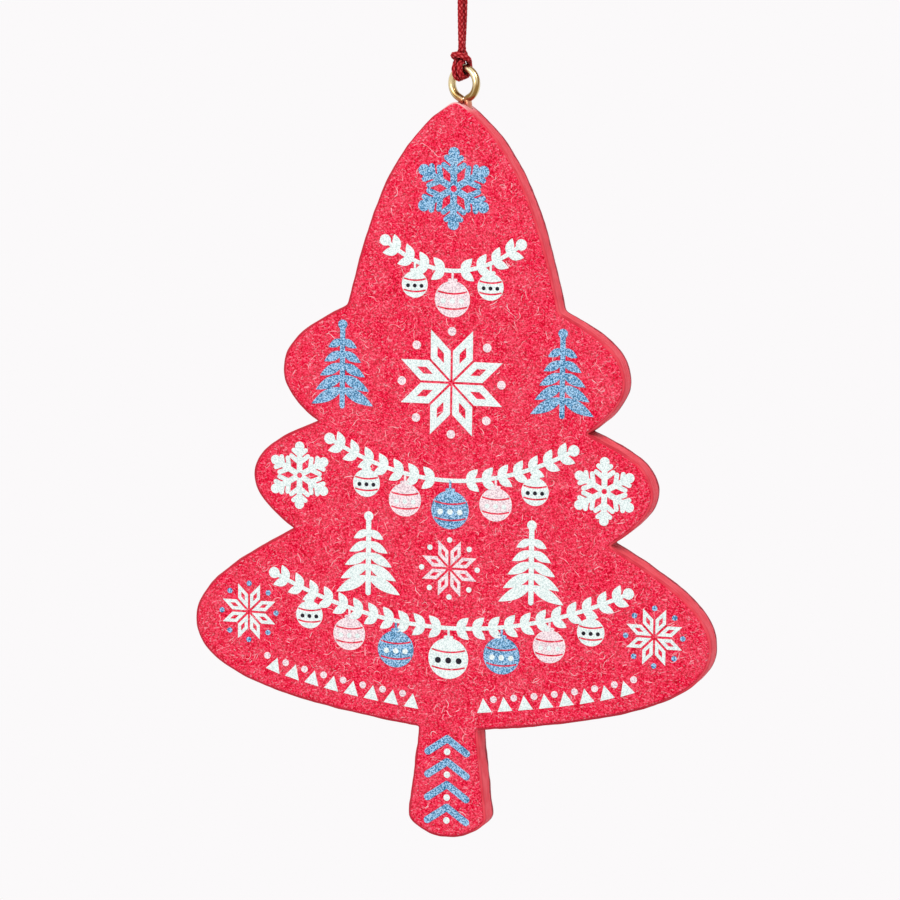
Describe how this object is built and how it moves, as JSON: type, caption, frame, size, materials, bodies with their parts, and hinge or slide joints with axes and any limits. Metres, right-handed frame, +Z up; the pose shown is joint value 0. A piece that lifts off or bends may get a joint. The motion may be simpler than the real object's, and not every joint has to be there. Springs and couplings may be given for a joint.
{
  "type": "tree ornament",
  "caption": "Flat tree-shaped papier-mâché ornament with a printed face, hung from a brass screw eye on a doubled and knotted red cord.",
  "frame": {"origin": "the point of the cord's loop, just under its end knot, where a hook or twig holds the ornament up", "axes": "+Z up along the hanging cord, +X to the right of the printed face, +Y towards the back"},
  "size_m": [0.0796, 0.0058, 0.1707],
  "materials": {
    "pulp": "smooth matt coral red paint over pressed pulp",
    "facing_paper": "matt red paper with pale fibres, printed on the front",
    "brass": "drawn wire, polished",
    "cord": "thin braided cord with a slight sheen"
  },
  "bodies": {
    "cord": {"cord_end_knot": "cord", "cord_strand_left": "cord", "cord_strand_right": "cord"},
    "hitch": {"cord_hitch": "cord"},
    "eye": {"screw_eye": "brass"},
    "board": {"pulp_core": "pulp", "front_paper": "facing_paper", "back_paper": "facing_paper"}
  },
  "joints": [
    {"name": "cord_twist", "type": "hinge", "parent": "cord", "child": "hitch", "pos_m": [0, 0, -0.0427], "axis": [0, 0, 1], "range_deg": [-180, 180]},
    {"name": "eye_swing", "type": "hinge", "parent": "hitch", "child": "eye", "pos_m": [0, 0, -0.046], "axis": [0.9088, -0.358, 0.2143], "range_deg": [-90, 90]},
    {"name": "eye_turn", "type": "hinge", "parent": "eye", "child": "board", "pos_m": [0.00119, -0.00047, -0.053], "axis": [0, 0, 1], "range_deg": [-90, 90]}
  ]
}
